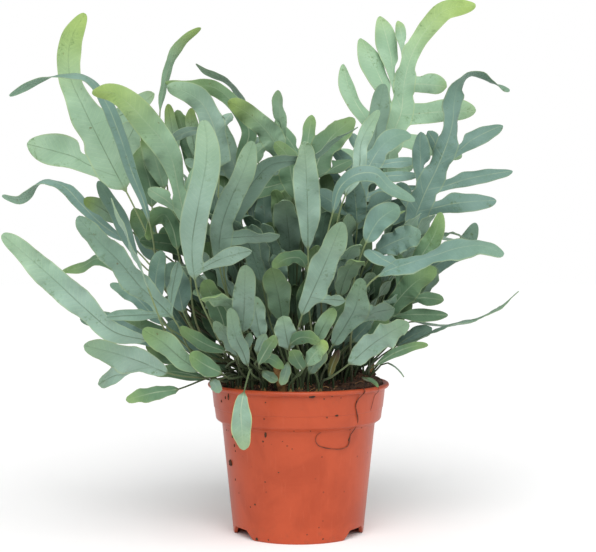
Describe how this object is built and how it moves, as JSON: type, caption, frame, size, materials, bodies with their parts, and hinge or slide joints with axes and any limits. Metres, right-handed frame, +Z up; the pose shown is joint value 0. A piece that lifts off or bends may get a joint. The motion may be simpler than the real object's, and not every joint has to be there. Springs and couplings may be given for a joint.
{
  "type": "blue star fern in a nursery pot",
  "caption": "Blue star fern with waxy blue-green simple and lobed fronds on thin stalks, growing in a round terracotta-coloured plastic nursery pot.",
  "frame": {"origin": "the middle, across and in depth, of the box round the whole plant and pot, on the surface that the pot stands on", "axes": "+Z up along the pot's axis, -Y to the front, +X to the right as the front is seen"},
  "size_m": [0.3512, 0.2522, 0.3662],
  "materials": {
    "pot_plastic": "semi-gloss terracotta-coloured moulded plastic",
    "soil": "damp dark peat with fibres and crumbs",
    "leaf_blue": "waxy blue-green leaf with a pale midrib",
    "leaf_green": "waxy mid-green leaf",
    "leaf_lime": "young yellow-green leaf",
    "leaf_pale": "pale grey-green underside of a leaf"
  },
  "bodies": {
    "root": {"frond_01": "leaf_lime", "frond_02": "leaf_blue", "frond_03": "leaf_lime", "frond_04": "leaf_lime", "frond_05": "leaf_green", "frond_06": "leaf_pale", "frond_07": "leaf_pale", "frond_08": "leaf_pale", "frond_09": "leaf_pale", "frond_10": "leaf_blue", "frond_11": "leaf_lime", "frond_12": "leaf_green", "frond_13": "leaf_green", "tuft_09": "leaf_green", "frond_15": "leaf_lime", "frond_16": "leaf_blue", "frond_17": "leaf_blue", "frond_18": "leaf_pale", "frond_19": "leaf_blue", "frond_20": "leaf_blue", "frond_21": "leaf_blue", "frond_22": "leaf_blue", "frond_23": "leaf_green", "frond_24": "leaf_blue", "frond_25": "leaf_blue", "frond_26": "leaf_pale", "frond_27": "leaf_pale", "tuft_01": "leaf_pale", "tuft_02": "leaf_green", "frond_28": "leaf_pale", "frond_29": "leaf_green", "frond_30": "leaf_pale", "frond_31": "leaf_blue", "frond_32": "leaf_blue", "frond_33": "leaf_blue", "tuft_03": "leaf_green", "frond_34": "leaf_pale", "tuft_04": "leaf_pale", "frond_35": "leaf_green", "frond_36": "leaf_lime", "tuft_05": "leaf_pale", "frond_37": "leaf_green", "frond_38": "leaf_pale", "frond_39": "leaf_blue", "frond_40": "leaf_green", "tuft_06": "leaf_green", "tuft_10": "leaf_blue", "tuft_07": "leaf_green", "tuft_08": "leaf_lime", "frond_14": "leaf_green", "back_tuft_1": "leaf_blue", "back_tuft_2": "leaf_blue", "back_tuft_3": "leaf_blue", "back_tuft_4": "leaf_blue", "back_tuft_5": "leaf_blue", "back_tuft_6": "leaf_blue", "back_tuft_7": "leaf_blue", "back_tuft_8": "leaf_blue", "pot": "pot_plastic", "soil": "soil"}
  },
  "joints": []
}
